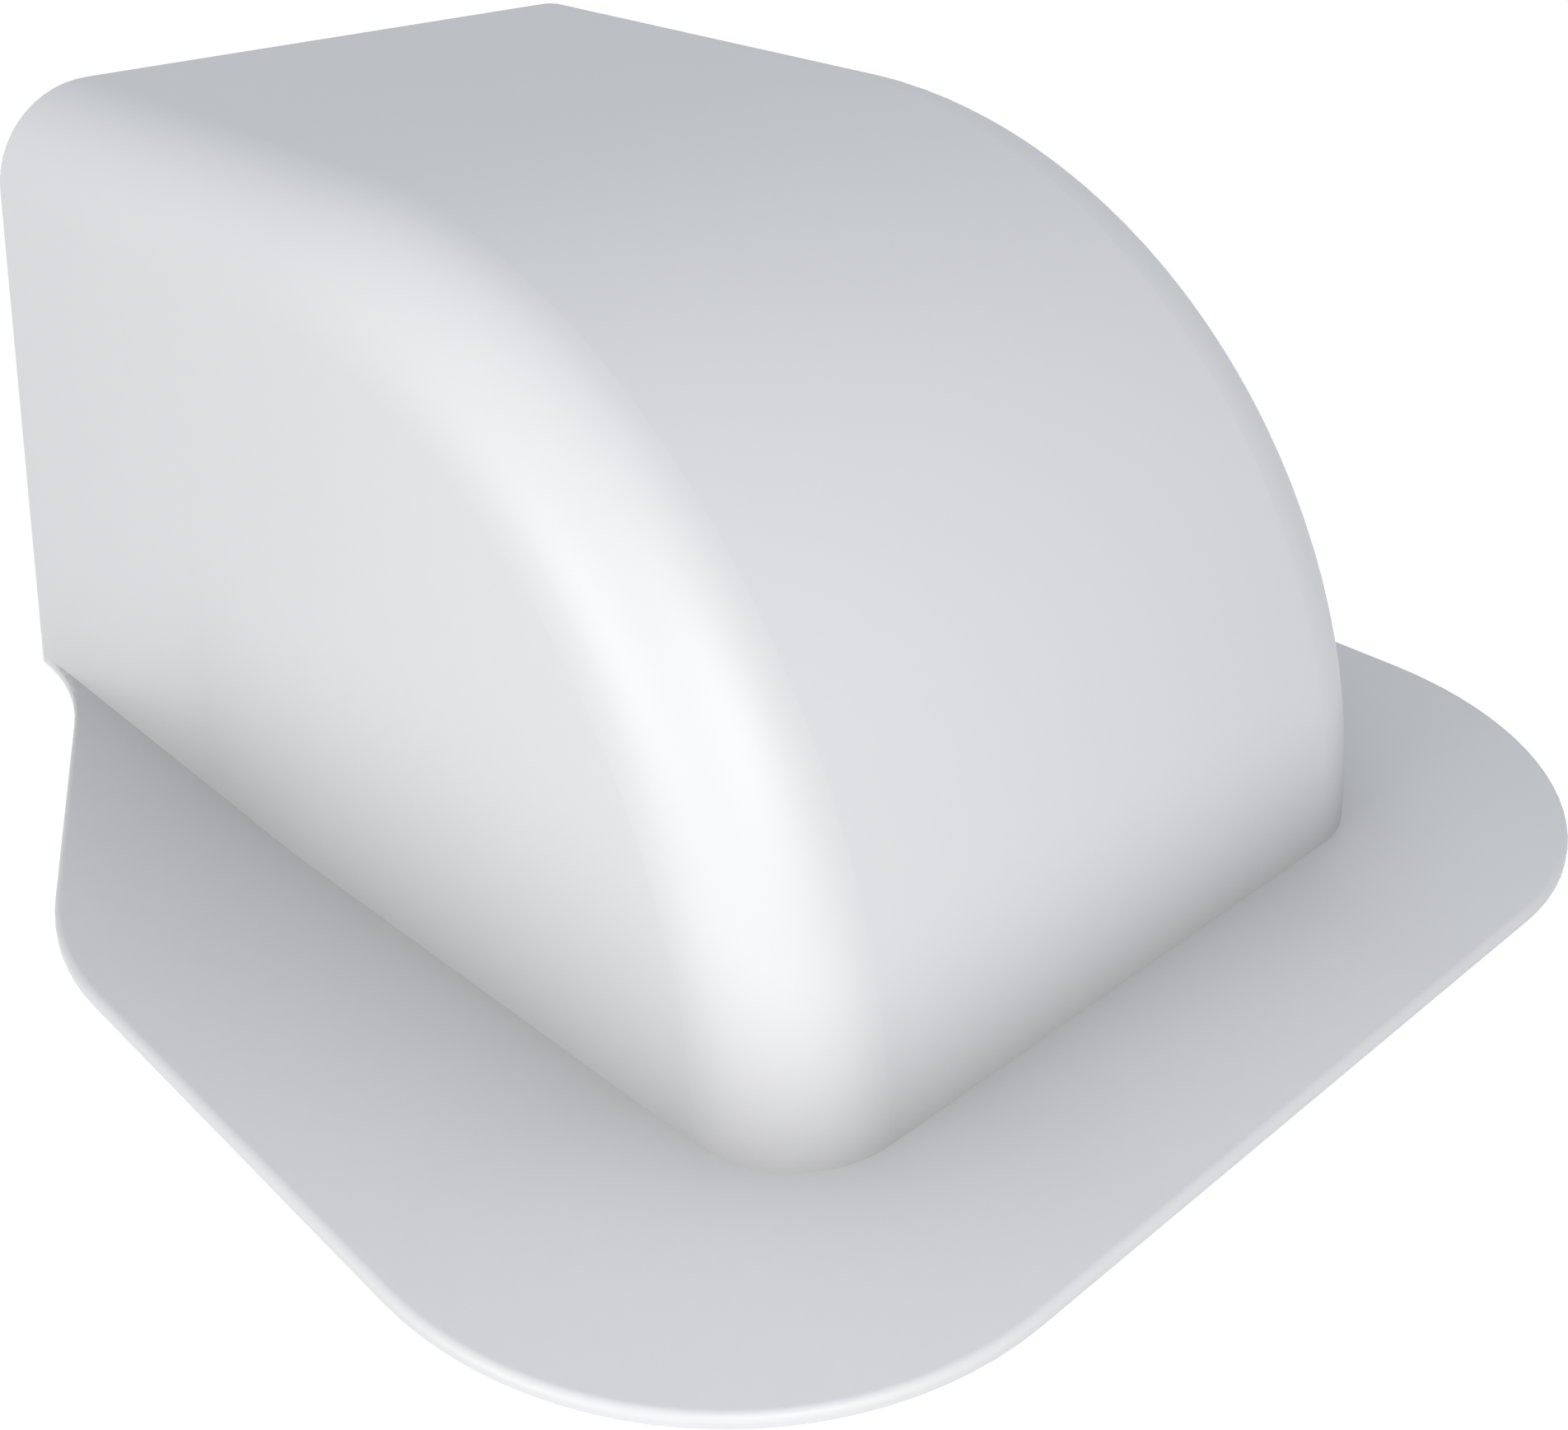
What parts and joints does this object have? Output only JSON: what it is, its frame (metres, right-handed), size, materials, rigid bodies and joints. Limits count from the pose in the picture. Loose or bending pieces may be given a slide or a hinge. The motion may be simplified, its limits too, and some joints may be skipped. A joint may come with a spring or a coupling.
{
  "type": "wall duct bend",
  "caption": "Moulded wall bend: a hood open at its mouth and towards the wall, with a thin flange, that turns flat duct on a wall through a right angle into the wall.",
  "frame": {"origin": "centre of the bend on the wall: the middle of the trunking's end where it lies on the wall and the bend begins", "axes": "+Z away from the wall, +X from the open mouth towards the front of the bend, +Y across the hood; the wall is z = 0"},
  "size_m": [0.1307, 0.1284, 0.062],
  "materials": {
    "hood": "smooth satin white, moulded"
  },
  "bodies": {
    "root": {"hood": "hood"}
  },
  "joints": []
}
